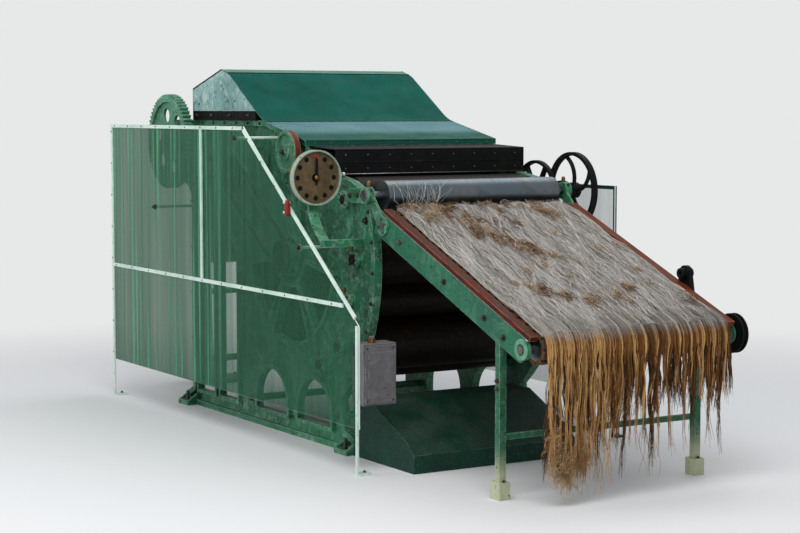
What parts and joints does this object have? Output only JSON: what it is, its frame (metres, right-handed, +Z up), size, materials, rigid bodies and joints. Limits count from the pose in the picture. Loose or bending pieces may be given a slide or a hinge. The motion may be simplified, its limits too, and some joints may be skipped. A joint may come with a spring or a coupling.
{
  "type": "jute carding machine",
  "caption": "Jute breaker card: sloping slatted feed table with raw jute, pressing roller, carding rollers in cast side frames under a folded hood, and a delivery chute.",
  "frame": {"origin": "middle of the machine's footprint, on the floor", "axes": "+X across the machine towards the belt pulleys, +Y from the feed table to the delivery end, +Z up"},
  "size_m": [2.01, 4.9181, 2.2],
  "materials": {
    "green_paint": "worn gloss",
    "teal_paint": "worn gloss",
    "pale_paint": "satin, faded",
    "black_iron": "satin",
    "steel": "polished",
    "pins": "dull, pinned",
    "dial_face": "dull",
    "rail_wood": "varnished, worn",
    "slat_wood": "bare, worn",
    "jute": "loose fibre",
    "clear": "clear sheet",
    "grey_paint": "satin"
  },
  "bodies": {
    "machine": {"side_frame_near": "green_paint", "side_frame_far": "green_paint", "cross_stays": "green_paint", "main_cylinder": "pins", "worker_rollers": "pins", "stripper_rollers": "pins", "doffer": "pins", "drawing_roller_upper": "slat_wood", "feed_shell": "black_iron", "roller_shroud": "black_iron", "press_bracket_near": "green_paint", "press_bracket_far": "green_paint", "hood_front_lower": "teal_paint", "hood_front_upper": "teal_paint", "hood_back": "teal_paint", "hood_end_near": "pale_paint", "hood_end_far": "pale_paint", "hood_sills": "black_iron", "table_side_near": "green_paint", "table_side_far": "green_paint", "rail_near": "rail_wood", "rail_far": "rail_wood", "table_bed": "black_iron", "apron": "slat_wood", "apron_rollers": "steel", "table_legs": "green_paint", "jute_layer": "jute", "jute_drape": "jute", "dial": "dial_face", "dial_bracket": "green_paint", "idler_wheel": "green_paint", "doffer_chain": "black_iron", "drive_pulleys": "green_paint", "table_pulley": "black_iron", "rail_bracket": "black_iron", "conductor": "teal_paint", "delivery_stand": "green_paint", "delivery_rollers": "steel", "guard_bars_near": "pale_paint", "guard_panel_near": "clear", "guard_bars_far": "green_paint", "guard_panel_far": "clear", "switch_box": "grey_paint", "drive_cover": "green_paint"},
    "press_rotor": {"press_roller": "steel", "spoked_wheel": "black_iron"},
    "feed_rotor": {"feed_roller": "pins", "feed_wheel": "black_iron"},
    "gear_rotor": {"gear_large": "pale_paint"},
    "draw_rotor": {"drawing_roller_lower": "steel", "pinion": "pale_paint"},
    "hand": {"dial_hand": "black_iron"}
  },
  "joints": [
    {"name": "press_turn", "type": "hinge", "parent": "machine", "child": "press_rotor", "pos_m": [0, -0.86, 1.475], "axis": [1, 0, 0], "continuous": true},
    {"name": "feed_turn", "type": "hinge", "parent": "machine", "child": "feed_rotor", "pos_m": [0, -0.54984, 1.44021], "axis": [1, 0, 0], "continuous": true},
    {"name": "gear_turn", "type": "hinge", "parent": "machine", "child": "gear_rotor", "pos_m": [0, 1.6, 1.74], "axis": [1, 0, 0], "continuous": true},
    {"name": "pinion_turn", "type": "hinge", "parent": "machine", "child": "draw_rotor", "pos_m": [0, 1.24003, 1.56443], "axis": [1, 0, 0], "continuous": true},
    {"name": "hand_turn", "type": "hinge", "parent": "machine", "child": "hand", "pos_m": [-0.85, -0.6, 1.57], "axis": [0, 1, 0], "continuous": true}
  ],
  "couplings": [
    {"joint": "pinion_turn", "follows": "gear_turn", "ratio": -3}
  ]
}
